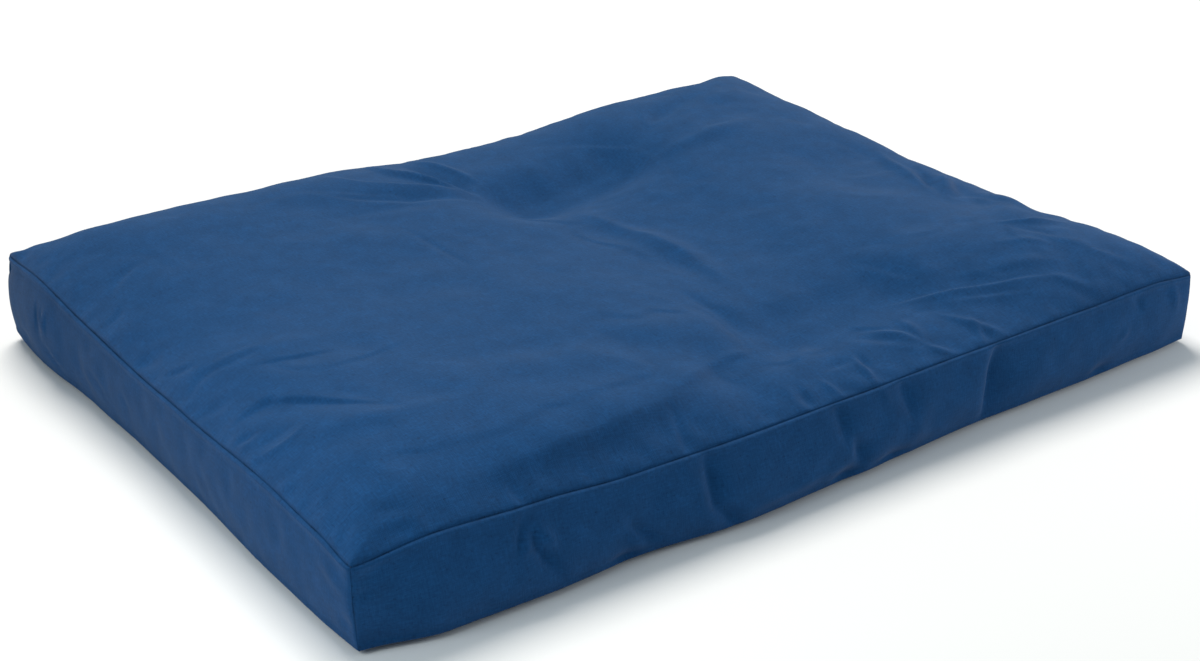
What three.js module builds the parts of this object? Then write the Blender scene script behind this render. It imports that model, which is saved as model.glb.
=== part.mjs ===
// Zabuton: a filled floor cushion of cotton canvas. A top and a bottom panel are joined by a gusset
// strip, and the filled cover is one closed solid: crowned top, bellied gusset, flat base.
// Millimetres, +Z up. +X runs along the long sides, and the base lies on z = 0.
import * as THREE from 'three';

// Driving dimensions
const LENGTH = 864; // seam corner to seam corner along X
const WIDTH = 686; // seam corner to seam corner along Y
const CROWN = 32; // lift of the top panel above its seam, at the middle
const CROWN_REACH = 36; // distance from the seam in which two thirds of that lift are gained
const CORNER_ROUNDING = 3; // a higher power keeps the crown fuller into its corners
const SEAM_HOLD = 5; // distance from the seam in which it holds the folds flat
const FOOT_HEIGHT = 3; // height of the lower seam above the floor
const RIM = 20; // width of the rounded rim between the lower seam and the flat base
const FOLD_LIP = 0.25; // raised lips along a trough, or hollows along a ridge
const FOLD_OVERRUN = 0.1; // share of its length by which a fold runs past each end of its line
const FOLD_FADE = 0.35; // share of its length in which it fades out at each end
const COLOUR = 0x32537c;

// Mesh steps
const STEPS_X = 64;
const STEPS_Y = 52;
const EDGE_PACKING = 0.45; // 0 spaces the grid lines evenly, 1 packs them fully against the seams
const GUSSET_LEVELS = [0.1, 0.26, 0.46, 0.66, 0.84, 1]; // 0 is the upper seam, 1 the lower seam

// Corners of the seams: the upper seam's height there, and how far the lower seam is lifted off the floor.
const LIFT_REACH = 30;
const CORNERS = {
  nearLeft: { x: -1, y: -1, seam: 77, lift: 0 },
  nearRight: { x: 1, y: -1, seam: 70, lift: 0 },
  farLeft: { x: -1, y: 1, seam: 88, lift: 6 },
  farRight: { x: 1, y: 1, seam: 77, lift: 6 },
};

// Sections along each side, at a share of the way from its first to its last corner.
// rise and out move the upper seam up and outwards from the straight line between its corners,
// belly is where the gusset lies at half its height, and foot where its lower seam lies, from that line.
const SIDES = {
  front: {
    from: 'nearLeft', to: 'nearRight', normal: [0, -1],
    sections: [
      { at: 0.00, rise: 0, out: 0, belly: 2, foot: -2 },
      { at: 0.08, rise: 6, out: 1, belly: 16, foot: 13 },
      { at: 0.18, rise: 2, out: 1, belly: 17, foot: 14 },
      { at: 0.28, rise: -2, out: 3, belly: 14, foot: 10 },
      { at: 0.39, rise: -3, out: 3, belly: 21, foot: 18 },
      { at: 0.52, rise: -2, out: 2, belly: 17, foot: 13 },
      { at: 0.70, rise: 0, out: 0, belly: 10, foot: 4 },
      { at: 0.84, rise: 2, out: 0, belly: 8, foot: 3 },
      { at: 0.94, rise: 4, out: 0, belly: 4, foot: 0 },
      { at: 1.00, rise: 0, out: 0, belly: 0, foot: -3 },
    ],
  },
  right: {
    from: 'nearRight', to: 'farRight', normal: [1, 0],
    sections: [
      { at: 0.00, rise: 0, out: 0, belly: 0, foot: -3 },
      { at: 0.12, rise: 2, out: -2, belly: 5, foot: -3 },
      { at: 0.20, rise: 1, out: -3, belly: 6, foot: -3 },
      { at: 0.28, rise: -5, out: -4, belly: 5, foot: -4 },
      { at: 0.36, rise: -3, out: -4, belly: 6, foot: -4 },
      { at: 0.52, rise: -7, out: -4, belly: 8, foot: -2 },
      { at: 0.75, rise: -2, out: -4, belly: 6, foot: -4 },
      { at: 1.00, rise: 0, out: 0, belly: 1, foot: -4 },
    ],
  },
  back: {
    from: 'farLeft', to: 'farRight', normal: [0, 1],
    sections: [
      { at: 0.00, rise: 0, out: 0, belly: 5, foot: 2 },
      { at: 0.14, rise: 2, out: -3, belly: 10, foot: 3 },
      { at: 0.34, rise: 1, out: -5, belly: 7, foot: -2 },
      { at: 0.55, rise: -6, out: -5, belly: 9, foot: 0 },
      { at: 0.80, rise: 1, out: -4, belly: 8, foot: -2 },
      { at: 1.00, rise: 0, out: 0, belly: 1, foot: -4 },
    ],
  },
  left: {
    from: 'nearLeft', to: 'farLeft', normal: [-1, 0],
    sections: [
      { at: 0.00, rise: 0, out: 0, belly: 2, foot: -2 },
      { at: 0.08, rise: 4, out: -1, belly: 3, foot: 0 },
      { at: 0.20, rise: 5, out: -2, belly: 4, foot: 0 },
      { at: 0.42, rise: -1, out: -2, belly: 2, foot: -4 },
      { at: 0.57, rise: -5, out: -3, belly: 1, foot: -4 },
      { at: 0.72, rise: -2, out: -2, belly: 3, foot: -2 },
      { at: 0.88, rise: 5, out: 0, belly: 9, foot: 4 },
      { at: 1.00, rise: 0, out: 0, belly: 5, foot: 2 },
    ],
  },
};

// Hollows pressed into the top: a centre, a half length and half width with soft shoulders, and a turn.
const HOLLOWS = [
  { x: 92, y: -232, length: 62, width: 6, shoulder: 40, turn: 6, depth: 13 },
  { x: 84, y: 160, length: 62, width: 6, shoulder: 44, turn: 8, depth: 25 },
  { x: 82, y: -40, length: 25, width: 150, shoulder: 70, turn: 0, depth: 9 },
  { x: 60, y: 290, length: 70, width: 30, shoulder: 60, turn: 0, depth: 9 },
  { x: 90, y: -310, length: 130, width: 30, shoulder: 45, turn: 0, depth: 16 },
  { x: 352, y: -40, length: 20, width: 60, shoulder: 50, turn: 20, depth: 8 },
  { x: 400, y: -196, length: 10, width: 14, shoulder: 22, turn: 0, depth: 6 },
  { x: -158, y: 188, length: 25, width: 10, shoulder: 40, turn: -30, depth: 4 },
  { x: -278, y: -316, length: 18, width: 4, shoulder: 24, turn: 0, depth: 4 },
  { x: -430, y: 290, length: 8, width: 30, shoulder: 45, turn: 0, depth: 10 },
];

// Folds of the top panel along lines that bow to their left. half is the half width, wider on the left and
// narrower on the right by the share skew. A positive lift is a ridge, a negative one a trough.
const TOP_FOLDS = [
  // left edge
  { x0: -403, y0: 158, x1: -352, y1: 188, half: 12, lift: -2, bow: 8 },
  { x0: -424, y0: 8, x1: -400, y1: -16, half: 11, lift: -2 },
  { x0: -364, y0: -66, x1: -304, y1: -85, half: 12, lift: -1.5 },
  { x0: -338, y0: -114, x1: -244, y1: -101, half: 12, lift: -1.5, bow: -4 },
  { x0: -422, y0: -122, x1: -380, y1: -121, half: 14, lift: -3 },
  { x0: -386, y0: -121, x1: -322, y1: -202, half: 17, lift: -4 },
  { x0: -398, y0: -196, x1: -250, y1: -224, half: 15, lift: 1.5, bow: -6 },
  { x0: -434, y0: -344, x1: -396, y1: -325, half: 11, lift: 2 },
  // front edge
  { x0: -289, y0: -320, x1: -286, y1: -348, half: 10, lift: -3 },
  { x0: -310, y0: -320, x1: -100, y1: -297, half: 34, lift: 10, bow: -3, skew: 0.6 },
  { x0: -125, y0: -300, x1: -40, y1: -254, half: 20, lift: 5, skew: 0.5 },
  { x0: -62, y0: -263, x1: 0, y1: -254, half: 10, lift: 3 },
  { x0: -258, y0: -158, x1: -28, y1: -262, half: 28, lift: -2.5, bow: 30 },
  { x0: -126, y0: -302, x1: -138, y1: -348, half: 10, lift: -3 },
  { x0: 44, y0: -262, x1: -2, y1: -312, half: 14, lift: 3 },
  { x0: 63, y0: -304, x1: 55, y1: -346, half: 10, lift: 3 },
  { x0: 103, y0: -279, x1: 140, y1: -342, half: 11, lift: 4 },
  { x0: 170, y0: -288, x1: 206, y1: -344, half: 10, lift: 3 },
  // right front, fanning out from the pressed hollow
  { x0: 156, y0: -253, x1: 320, y1: -322, half: 11, lift: 4.5 },
  { x0: 212, y0: -250, x1: 320, y1: -295, half: 12, lift: 3 },
  { x0: 322, y0: -246, x1: 362, y1: -316, half: 13, lift: 2, bow: 4 },
  { x0: 320, y0: -204, x1: 382, y1: -233, half: 10, lift: 4, bow: -6 },
  // right edge
  { x0: 388, y0: -74, x1: 356, y1: -150, half: 11, lift: -6 },
  { x0: 394, y0: -10, x1: 344, y1: -108, half: 12, lift: 7 },
  { x0: 400, y0: -112, x1: 376, y1: -204, half: 15, lift: 6 },
  // back left, gathered towards the far hollow
  { x0: -34, y0: 300, x1: -8, y1: 186, half: 14, lift: -7, bow: -6 },
  { x0: -66, y0: 314, x1: -16, y1: 186, half: 14, lift: 7, bow: -17 },
  { x0: -128, y0: 294, x1: -20, y1: 188, half: 13, lift: 5, bow: -25 },
  { x0: -160, y0: 248, x1: -18, y1: 170, half: 11, lift: -3, bow: -21 },
  // between and beside the hollows
  { x0: 48, y0: 78, x1: 58, y1: -150, half: 14, lift: 6, bow: 10 },
  { x0: 6, y0: -130, x1: 0, y1: -246, half: 15, lift: -6, bow: 6 },
  { x0: 190, y0: 190, x1: 330, y1: 262, half: 18, lift: -6, bow: 10 },
  { x0: 185, y0: 150, x1: 345, y1: 170, half: 16, lift: 5, bow: -8 },
  { x0: 400, y0: 300, x1: 300, y1: 210, half: 18, lift: 5, bow: 6 },
];

// Creases of the gusset: the side, the place along it and the height where each starts and ends.
const GUSSET_FOLDS = [
  { side: 'front', x0: -288, z0: 76, x1: -258, z1: 6, half: 11, lift: -4.5, bow: -6 },
  { side: 'front', x0: -205, z0: 50, x1: -158, z1: 12, half: 10, lift: -5, bow: -9 },
  { side: 'front', x0: -122, z0: 92, x1: -103, z1: -4, half: 12, lift: -8, bow: -6 },
  { side: 'front', x0: 5, z0: 84, x1: 13, z1: 34, half: 12, lift: -4.5 },
  { side: 'front', x0: 72, z0: 84, x1: 84, z1: 34, half: 13, lift: -5.5 },
  { side: 'front', x0: 212, z0: 94, x1: 172, z1: -14, half: 24, lift: -13, bow: 3, skew: 0.5 },
  { side: 'front', x0: 354, z0: 70, x1: 366, z1: 52, half: 11, lift: -3 },
  { side: 'left', x0: 252, z0: 74, x1: 246, z1: 36, half: 12, lift: -4 },
  { side: 'left', x0: 246, z0: 30, x1: 204, z1: 14, half: 12, lift: -3 },
  { side: 'left', x0: 154, z0: 46, x1: 104, z1: 20, half: 12, lift: -2, bow: -4 },
  { side: 'left', x0: -290, z0: 63, x1: -340, z1: 52, half: 12, lift: 2 },
  { side: 'right', x0: -150, z0: 62, x1: -168, z1: 10, half: 12, lift: -5.5 },
  { side: 'right', x0: 70, z0: 66, x1: 92, z1: 14, half: 12, lift: -6 },
  { side: 'right', x0: 250, z0: 70, x1: 236, z1: 20, half: 12, lift: 5.5 },
  { side: 'back', x0: -210, z0: 80, x1: -190, z1: 14, half: 12, lift: -6 },
  { side: 'back', x0: 20, z0: 70, x1: 44, z1: 12, half: 12, lift: -7 },
  { side: 'back', x0: 240, z0: 74, x1: 215, z1: 16, half: 12, lift: -5.5 },
];

const clamp01 = (value) => Math.min(1, Math.max(0, value));
const smooth = (value) => THREE.MathUtils.smoothstep(value, 0, 1);
const mix = THREE.MathUtils.lerp;

// A column of a side's sections at a share of the way along it, eased from section to section.
function sectionValue(side, column, share) {
  const rows = SIDES[side].sections;
  const last = rows.findIndex((row) => row.at >= share);
  if (last <= 0) return rows[0][column];
  const [before, after] = [rows[last - 1], rows[last]];
  return mix(before[column], after[column], smooth((share - before.at) / (after.at - before.at)));
}

// The upper seam of a side at a share of the way along it.
function seamPoint(side, share) {
  const { from, to, normal } = SIDES[side];
  const [start, end] = [CORNERS[from], CORNERS[to]];
  const out = sectionValue(side, 'out', share);
  return new THREE.Vector3(
    mix(start.x, end.x, share) * LENGTH / 2 + normal[0] * out,
    mix(start.y, end.y, share) * WIDTH / 2 + normal[1] * out,
    mix(start.seam, end.seam, share) + sectionValue(side, 'rise', share),
  );
}

// A fold's height at a distance along and across its bowed line: eased at its ends, soft across.
function foldHeight(fold, along, across) {
  const fade = (share) => smooth((share + FOLD_OVERRUN) / FOLD_FADE);
  const ends = fade(along) * fade(1 - along);
  const { half, lift, bow = 0, skew = 0 } = fold;
  const fromLine = across - bow * 4 * clamp01(along) * (1 - clamp01(along));
  const offset = (fromLine / (half * (1 + skew * Math.sign(fromLine)))) ** 2;
  return lift * ends * (1 - FOLD_LIP * offset) * Math.exp(-offset);
}

// The fold's height at a point of the plane that its line is drawn in.
function foldAt(fold, start, end, point) {
  const line = end.clone().sub(start);
  const offset = point.clone().sub(start);
  const along = offset.dot(line) / line.lengthSq();
  return foldHeight(fold, along, line.cross(offset) / line.length());
}

// How far a pressed hollow lowers the top panel at a point.
function hollowDepth(hollow, x, y) {
  const local = new THREE.Vector2(x - hollow.x, y - hollow.y);
  local.rotateAround(new THREE.Vector2(), -THREE.MathUtils.degToRad(hollow.turn));
  const past = Math.hypot(
    Math.max(0, Math.abs(local.x) - hollow.length),
    Math.max(0, Math.abs(local.y) - hollow.width),
  );
  return hollow.depth * Math.exp(-((past / hollow.shoulder) ** 2));
}

// Distance from a point of the top panel to its seam, rounded off where two sides are equally near.
function seamDistance(x, y) {
  const edgeX = Math.max(0, LENGTH / 2 - Math.abs(x));
  const edgeY = Math.max(0, WIDTH / 2 - Math.abs(y));
  return (edgeX ** -CORNER_ROUNDING + edgeY ** -CORNER_ROUNDING) ** (-1 / CORNER_ROUNDING);
}

// Height of the top panel above the surface that its seams span, at a point of the flat panel.
function topRelief(x, y) {
  const distance = seamDistance(x, y);
  const filled = 1 - Math.exp(-distance / CROWN_REACH);
  const held = 1 - Math.exp(-distance / SEAM_HOLD);
  const point = new THREE.Vector2(x, y);
  let relief = CROWN * filled;
  for (const hollow of HOLLOWS) relief -= filled * hollowDepth(hollow, x, y);
  for (const fold of TOP_FOLDS) {
    const start = new THREE.Vector2(fold.x0, fold.y0);
    const end = new THREE.Vector2(fold.x1, fold.y1);
    relief += held * foldAt(fold, start, end, point);
  }
  return relief;
}

// Grid lines from 0 to 1, closer together near both ends.
function gridLines(steps) {
  const packed = (share) => share - EDGE_PACKING * Math.sin(2 * Math.PI * share) / (2 * Math.PI);
  return Array.from({ length: steps + 1 }, (_, step) => packed(step / steps));
}

// A point of the top panel: the surface spanned by the four seams, with the relief added.
function topPoint(u, v) {
  const [front, back] = [seamPoint('front', u), seamPoint('back', u)];
  const [left, right] = [seamPoint('left', v), seamPoint('right', v)];
  const corners = seamPoint('front', 0).lerp(seamPoint('front', 1), u)
    .lerp(seamPoint('back', 0).lerp(seamPoint('back', 1), u), v);
  const point = front.lerp(back, v).add(left.lerp(right, u)).sub(corners);
  point.z += topRelief((u - 0.5) * LENGTH, (v - 0.5) * WIDTH);
  return point;
}

// The loop of places round the seam, counter-clockwise from above, with the direction that faces out there.
function seamLoop(linesX, linesY) {
  const run = (side, shares) => shares.slice(0, -1).map((share) => ({ side, share }));
  const loop = [
    ...run('front', linesX),
    ...run('right', linesY),
    ...run('back', linesX.toReversed()),
    ...run('left', linesY.toReversed()),
  ];
  return loop.map((place, index) => {
    const outward = new THREE.Vector2(...SIDES[place.side].normal);
    const before = loop.at(index - 1).side;
    if (before !== place.side) outward.add(new THREE.Vector2(...SIDES[before].normal));
    return { ...place, outward };
  });
}

// Height of the lower seam of a side, at a share of the way along it.
function lowerSeamHeight(side, share) {
  const { from, to, normal } = SIDES[side];
  const length = normal[0] === 0 ? LENGTH : WIDTH;
  const lift = (corner, way) => CORNERS[corner].lift * Math.exp(-((way * length / LIFT_REACH) ** 2));
  return FOOT_HEIGHT + lift(from, share) + lift(to, 1 - share);
}

// A point of the gusset below a place on the seam, at a level from 0, the upper seam, to 1, the lower one.
function gussetPoint({ side, share, outward }, level) {
  const point = seamPoint(side, share);
  const seamOut = sectionValue(side, 'out', share);
  const belly = sectionValue(side, 'belly', share) - seamOut;
  const foot = sectionValue(side, 'foot', share) - seamOut;
  const alongSide = outward.y === 0 ? point.y : point.x;
  point.z = mix(point.z, lowerSeamHeight(side, share), level);
  const onSide = new THREE.Vector2(alongSide, point.z);
  const held = Math.sin(Math.PI * level);
  let out = foot * smooth(level) + (belly - foot / 2) * 4 * level * (1 - level);
  for (const fold of GUSSET_FOLDS.filter((row) => row.side === side)) {
    const start = new THREE.Vector2(fold.x0, fold.z0);
    const end = new THREE.Vector2(fold.x1, fold.z1);
    out += held * foldAt(fold, start, end, onSide);
  }
  point.x += outward.x * out;
  point.y += outward.y * out;
  return point;
}

// The closed surface of the cushion, as points and triangles that face out.
function cushionSurface() {
  const linesX = gridLines(STEPS_X);
  const linesY = gridLines(STEPS_Y);
  const points = [];
  const triangles = [];
  const quad = (a, b, c, d) => triangles.push(a, b, c, a, c, d);
  const topIndex = (i, j) => j * (STEPS_X + 1) + i;

  for (const v of linesY) for (const u of linesX) points.push(topPoint(u, v));
  for (let j = 0; j < STEPS_Y; j++) {
    for (let i = 0; i < STEPS_X; i++) {
      quad(topIndex(i, j), topIndex(i + 1, j), topIndex(i + 1, j + 1), topIndex(i, j + 1));
    }
  }

  const loop = seamLoop(linesX, linesY);
  const gridPlace = {
    front: (share) => topIndex(linesX.indexOf(share), 0),
    right: (share) => topIndex(STEPS_X, linesY.indexOf(share)),
    back: (share) => topIndex(linesX.indexOf(share), STEPS_Y),
    left: (share) => topIndex(0, linesY.indexOf(share)),
  };
  let upper = loop.map(({ side, share }) => gridPlace[side](share));
  const joinBelow = (ring) => {
    const lower = ring.map((point) => points.push(point) - 1);
    lower.forEach((index, place) => {
      const next = (place + 1) % lower.length;
      quad(index, lower[next], upper[next], upper[place]);
    });
    upper = lower;
  };
  for (const level of GUSSET_LEVELS) joinBelow(loop.map((place) => gussetPoint(place, level)));

  joinBelow(loop.map((place) => {
    const point = gussetPoint(place, 1);
    return new THREE.Vector3(point.x * (1 - 2 * RIM / LENGTH), point.y * (1 - 2 * RIM / WIDTH), 0);
  }));
  const middle = points.push(new THREE.Vector3()) - 1;
  upper.forEach((index, place) => triangles.push(middle, upper[(place + 1) % upper.length], index));
  return { points, triangles };
}

function makeCushion() {
  const { points, triangles } = cushionSurface();
  const geometry = new THREE.BufferGeometry().setFromPoints(points);
  geometry.setIndex(triangles);
  geometry.computeBoundingBox();
  const middle = geometry.boundingBox.getCenter(new THREE.Vector3());
  geometry.translate(-middle.x, -middle.y, 0);
  geometry.computeVertexNormals();
  const canvas = new THREE.MeshStandardMaterial({ color: COLOUR, roughness: 0.95, metalness: 0 });
  const cushion = new THREE.Mesh(geometry, canvas);
  cushion.name = 'cushion';
  return cushion;
}

const zabuton = new THREE.Group();
zabuton.name = 'zabuton';
zabuton.add(makeCushion());

export default zabuton;
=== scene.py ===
"""Zabuton: a filled floor cushion of plain blue cotton canvas, on a pale floor in soft studio light.

The cover is made as it is sewn: a top panel, four gusset strips and a bottom panel, in millimetres,
with the folds of the filled cloth placed one by one. Cloth simulation then slackens the cover between
its seams, and the result is turned into one closed mesh in metres.
"""
import math
from collections import namedtuple

import bpy
import numpy as np
from mathutils import Matrix, Vector


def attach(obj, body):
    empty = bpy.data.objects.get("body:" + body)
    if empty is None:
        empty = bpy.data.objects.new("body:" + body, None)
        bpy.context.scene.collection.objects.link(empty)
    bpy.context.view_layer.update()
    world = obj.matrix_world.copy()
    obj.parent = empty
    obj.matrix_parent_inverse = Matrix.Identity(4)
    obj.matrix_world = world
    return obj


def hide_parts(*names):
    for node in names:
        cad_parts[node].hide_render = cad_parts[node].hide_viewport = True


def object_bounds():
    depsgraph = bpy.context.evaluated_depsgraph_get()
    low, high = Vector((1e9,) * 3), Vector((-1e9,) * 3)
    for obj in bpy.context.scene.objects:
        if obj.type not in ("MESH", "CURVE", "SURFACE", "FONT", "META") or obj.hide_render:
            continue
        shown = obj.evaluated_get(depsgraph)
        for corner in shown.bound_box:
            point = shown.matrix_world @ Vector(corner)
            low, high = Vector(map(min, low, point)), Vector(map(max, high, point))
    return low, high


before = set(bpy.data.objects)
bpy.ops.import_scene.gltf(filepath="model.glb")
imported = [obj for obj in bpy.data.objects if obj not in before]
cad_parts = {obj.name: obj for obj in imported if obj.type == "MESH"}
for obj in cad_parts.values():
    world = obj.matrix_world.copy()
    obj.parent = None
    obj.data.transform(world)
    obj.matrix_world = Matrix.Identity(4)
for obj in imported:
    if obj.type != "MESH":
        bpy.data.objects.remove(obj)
cad_low, cad_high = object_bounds()

MM = 0.001

# Driving sizes of the cushion, in millimetres
LENGTH = 864  # seam corner to seam corner along X
WIDTH = 686  # seam corner to seam corner along Y
GUSSET_HEIGHT = 76  # finished height of the gusset strip, between its seams
CROWN = 32  # lift of the top panel above its seam, at the middle
CROWN_REACH = 36  # distance from the seam in which two thirds of that lift are gained
CORNER_ROUNDING = 3  # a higher power keeps the crown fuller into its corners
SEAM_HOLD = 5  # distance from the seam in which it holds the folds flat
FOOT_HEIGHT = 3  # height of the lower seam above the floor
RIM = 20  # width of the rounded rim between the lower seam and the flat base
EDGE_ROLL = 1  # the tight roll of the top panel beside its seam
EDGE_ROLL_REACH = 3

# Folds and creases
FOLD_LIP = 0.25  # raised lips along a trough, or hollows along a ridge
FOLD_OVERRUN = 0.1  # share of its length by which a fold runs past each end of its line
FOLD_END_WIDTH = 0.6  # share of its width that a fold has left where it dies out
CREASE_HOLD = 0.7  # a lower power lets the gusset's creases run closer to its seams

# Chance unevenness of the filling and of the sewing, each a field of waves between two lengths
Waves = namedtuple("Waves", "seed shortest longest")
WAVE_COUNT = 48
LUMP_WAVES = Waves(3, 45, 130)
GUSSET_LUMP_WAVES = Waves(5, 24, 80)
PUCKER_WAVES = Waves(8, 14, 40)
LUMP_SIZE = 0.5
GUSSET_LUMP_SIZE = 0.25
GUSSET_LUMP_SHIFT = 3 * LENGTH  # the field moves on by this from side to side, so that no two are alike
PUCKER_SIZE = 0.7
PUCKER_REACH = 14

# Seams: the cloth turns in to the stitching line, and the gusset stands out in a bead below it
SEAM_DEPTH = 2
SEAM_HALF = 0.9  # distance from the stitching line in which two thirds of that depth are lost
BEAD = 1.5
BEAD_AT = 3  # distance of the bead's crest from the stitching line
BEAD_HALF = 1.8
BEAD_CORNER_REACH = 6  # distance from a corner in which the bead dies out
CORNER_SEAM_DEPTH = 1.2
CORNER_SEAM_HOLD = 0.5  # a lower power lets a corner's groove run closer to its ends
CORNER_ROUND = 1.6  # how far the cover's upright edges are rounded in
CORNER_ROUND_REACH = 3
# Painted shade: the cloth's colour is darkened along the seams and corners, where their folds would be shaded
PAINTED_SHADE_HALF = 0.6  # reach of the painted shade along a seam's stitching line
CORNER_PAINTED_SHADE_HALF = 1.6
PAINTED_SHADE_VARIES = 0.6  # share of the painted shade that is missing where the seam lies open
TURN_IN = 0.7  # share of a groove's depth that the cloth moves in and down beside the upper seam
LOWER_TURN_IN = 0.5
LOWER_BEAD = 0.7  # size of the lower seam's bead to that of the upper one

# Cloth simulation of the slack cover, on a coarser copy that its seams hold
SLACK_STEP = 8  # mesh step of the copy
SLACK_GROWTH = 0.006  # share by which the cloth is larger than the form it covers
SLACK_PRESSURE = 4
SLACK_FRAMES = 20
SLACK_LIMIT = 0.7  # the most that a point may move
GUSSET_SLACK = 0.4  # share of its moves that the gusset keeps, because it is cut closer than the top
SLACK_BLUR = 0.8  # mesh steps over which the copy's moves are evened out on the fine mesh
SWELL_REACH = 60  # a swell this wide is left out, because the form has it already

# Mesh lines, in millimetres from a seam: close together beside it, then in stretches with a step each
SEAM_LINES = (0, 0.7, 1.5, 2.5, 4, 6)
Stretch = namedtuple("Stretch", "end step")
STRETCHES_X = [
    Stretch(140, 2.7), Stretch(287, 3.5), Stretch(345, 2.5),
    Stretch(412, 4), Stretch(665, 2.6), Stretch(858, 3.5),
]
STRETCHES_Y = [Stretch(283, 2.7), Stretch(680, 4.2)]
STRETCHES_GUSSET = [Stretch(70, 3.8)]
RIM_SHARES = (0.25, 0.5, 0.75, 1)  # rings of the rim, from the lower seam to the flat base
BASE_SHARES = (0.9, 0.6)  # rings of the flat base, from its rim to its middle
BASE_RING = 60  # width of cloth that a ring of the base stands for

# Mesh lines as shares of the length, the width and the gusset's height. A cover has its points, and the
# indices of the top panel's grid, of the rings from the upper seam down, and of the base's middle.
Lines = namedtuple("Lines", "x y gusset")
Cover = namedtuple("Cover", "points panel rings middle")

# Corners of the seams: the upper seam's height there, how far the lower seam is lifted off the floor, and
# how far the gusset is pinched in below the corner's tip
Corner = namedtuple("Corner", "x y seam lift pinch")
CORNER_LIFT_REACH = 30
PINCH_AT = 13  # distance of the pinch below the upper seam
PINCH_HALF = 7
PINCH_REACH = 10  # distance from the corner in which two thirds of it are lost
CORNERS = {
    "near_left": Corner(-1, -1, 77, 0, 0),
    "near_right": Corner(1, -1, 70, 0, 0),
    "far_left": Corner(-1, 1, 88, 6, 5),
    "far_right": Corner(1, 1, 77, 6, 2),
}

# Sections along each side, at a share of the way from its first to its last corner.
# rise and out move the upper seam up and outwards from the straight line between its corners, belly is
# where the gusset lies at half its height, and foot where its lower seam lies, from that line.
Section = namedtuple("Section", "at rise out belly foot")
Side = namedtuple("Side", "start end outward sections")
SIDES = {
    "front": Side("near_left", "near_right", (0, -1), [
        Section(0.00, 0, 0, 2, -2),
        Section(0.08, 6, 1, 16, 13),
        Section(0.18, 2, 1, 17, 14),
        Section(0.28, -2, 3, 14, 10),
        Section(0.39, -3, 3, 21, 18),
        Section(0.52, -2, 2, 17, 13),
        Section(0.70, 0, 0, 10, 4),
        Section(0.84, 2, 0, 8, 3),
        Section(0.94, 4, 0, 4, 0),
        Section(1.00, 0, 0, 0, -3),
    ]),
    "right": Side("near_right", "far_right", (1, 0), [
        Section(0.00, 0, 0, 0, -3),
        Section(0.12, 2, -2, 5, -3),
        Section(0.20, 1, -3, 6, -3),
        Section(0.28, -5, -4, 5, -4),
        Section(0.36, -3, -4, 6, -4),
        Section(0.52, -7, -4, 8, -2),
        Section(0.75, -2, -4, 6, -4),
        Section(1.00, 0, 0, 1, -4),
    ]),
    "back": Side("far_left", "far_right", (0, 1), [
        Section(0.00, 0, 0, 5.5, 3),
        Section(0.14, 2, -3, 10, 3),
        Section(0.34, 1, -5, 7, -2),
        Section(0.55, -6, -5, 9, 0),
        Section(0.80, 1, -4, 8, -2),
        Section(1.00, 0, 0, 1, -4),
    ]),
    "left": Side("near_left", "far_left", (-1, 0), [
        Section(0.00, 0, 0, 2, -2),
        Section(0.08, 4, -1, 3, 0),
        Section(0.20, 5, -2, 4, 0),
        Section(0.42, -1, -2, 2, -4),
        Section(0.57, -5, -3, 1, -4),
        Section(0.72, -2, -2, 3, -2),
        Section(0.88, 5, 0, 9, 4),
        Section(1.00, 0, 0, 5.5, 3),
    ]),
}

# Hollows pressed into the top: a centre, a half length and half width with soft shoulders, and a turn.
Hollow = namedtuple("Hollow", "x y length width shoulder turn depth")
HOLLOWS = [
    Hollow(92, -232, 62, 6, 40, 6, 13),
    Hollow(84, 160, 62, 6, 44, 8, 25),
    Hollow(82, -40, 25, 150, 70, 0, 9),
    Hollow(60, 290, 70, 30, 60, 0, 9),
    Hollow(90, -310, 130, 30, 45, 0, 16),
    Hollow(352, -40, 20, 60, 50, 20, 8),
    Hollow(400, -196, 10, 14, 22, 0, 6),
    Hollow(-158, 188, 25, 10, 40, -30, 4),
    Hollow(-278, -316, 18, 4, 24, 0, 4),
    Hollow(-430, 290, 8, 30, 45, 0, 10),
    Hollow(-424, 30, 2, 10, 10, 0, 2.5),
    Hollow(-427, -84, 2, 4, 10, 0, 2.5),
]

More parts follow.
